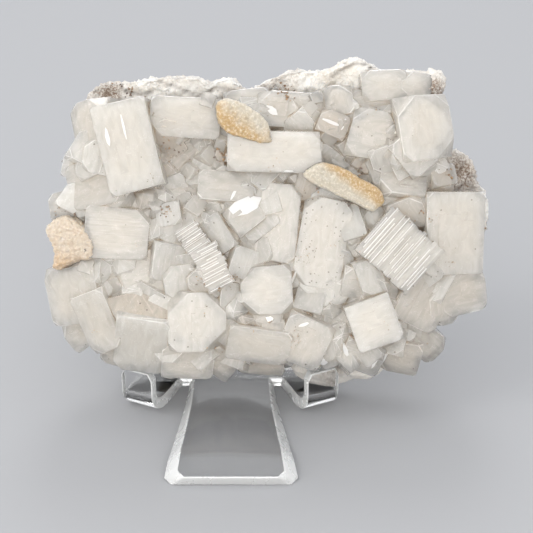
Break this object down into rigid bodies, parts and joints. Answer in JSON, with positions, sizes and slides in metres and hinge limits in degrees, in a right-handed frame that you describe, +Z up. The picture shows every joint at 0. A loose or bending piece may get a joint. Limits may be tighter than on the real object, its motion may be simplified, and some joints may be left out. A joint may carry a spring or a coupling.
{
  "type": "mineral specimen on a display stand",
  "caption": "Blocky apophyllite crystals with stilbite blades on pale rock, leaning on a clear bent acrylic easel with splayed hooks and a front foot.",
  "frame": {"origin": "middle of the footprint, on the table", "axes": "+X to the right along the specimen's width, +Z up, the crystals face -Y"},
  "size_m": [0.1188, 0.0958, 0.0922],
  "materials": {
    "rock": "rough, broken",
    "apophyllite": "flat, shining, partly see-through crystal faces",
    "stilbite_honey": "silky",
    "stilbite_peach": "silky",
    "clear_acrylic": "clear, polished"
  },
  "bodies": {
    "root": {"matrix": "rock", "apophyllite": "apophyllite", "stilbite_blade_upper": "stilbite_honey", "stilbite_blade_middle": "stilbite_honey", "stilbite_sheaf_left": "stilbite_peach", "stand": "clear_acrylic"}
  },
  "joints": []
}
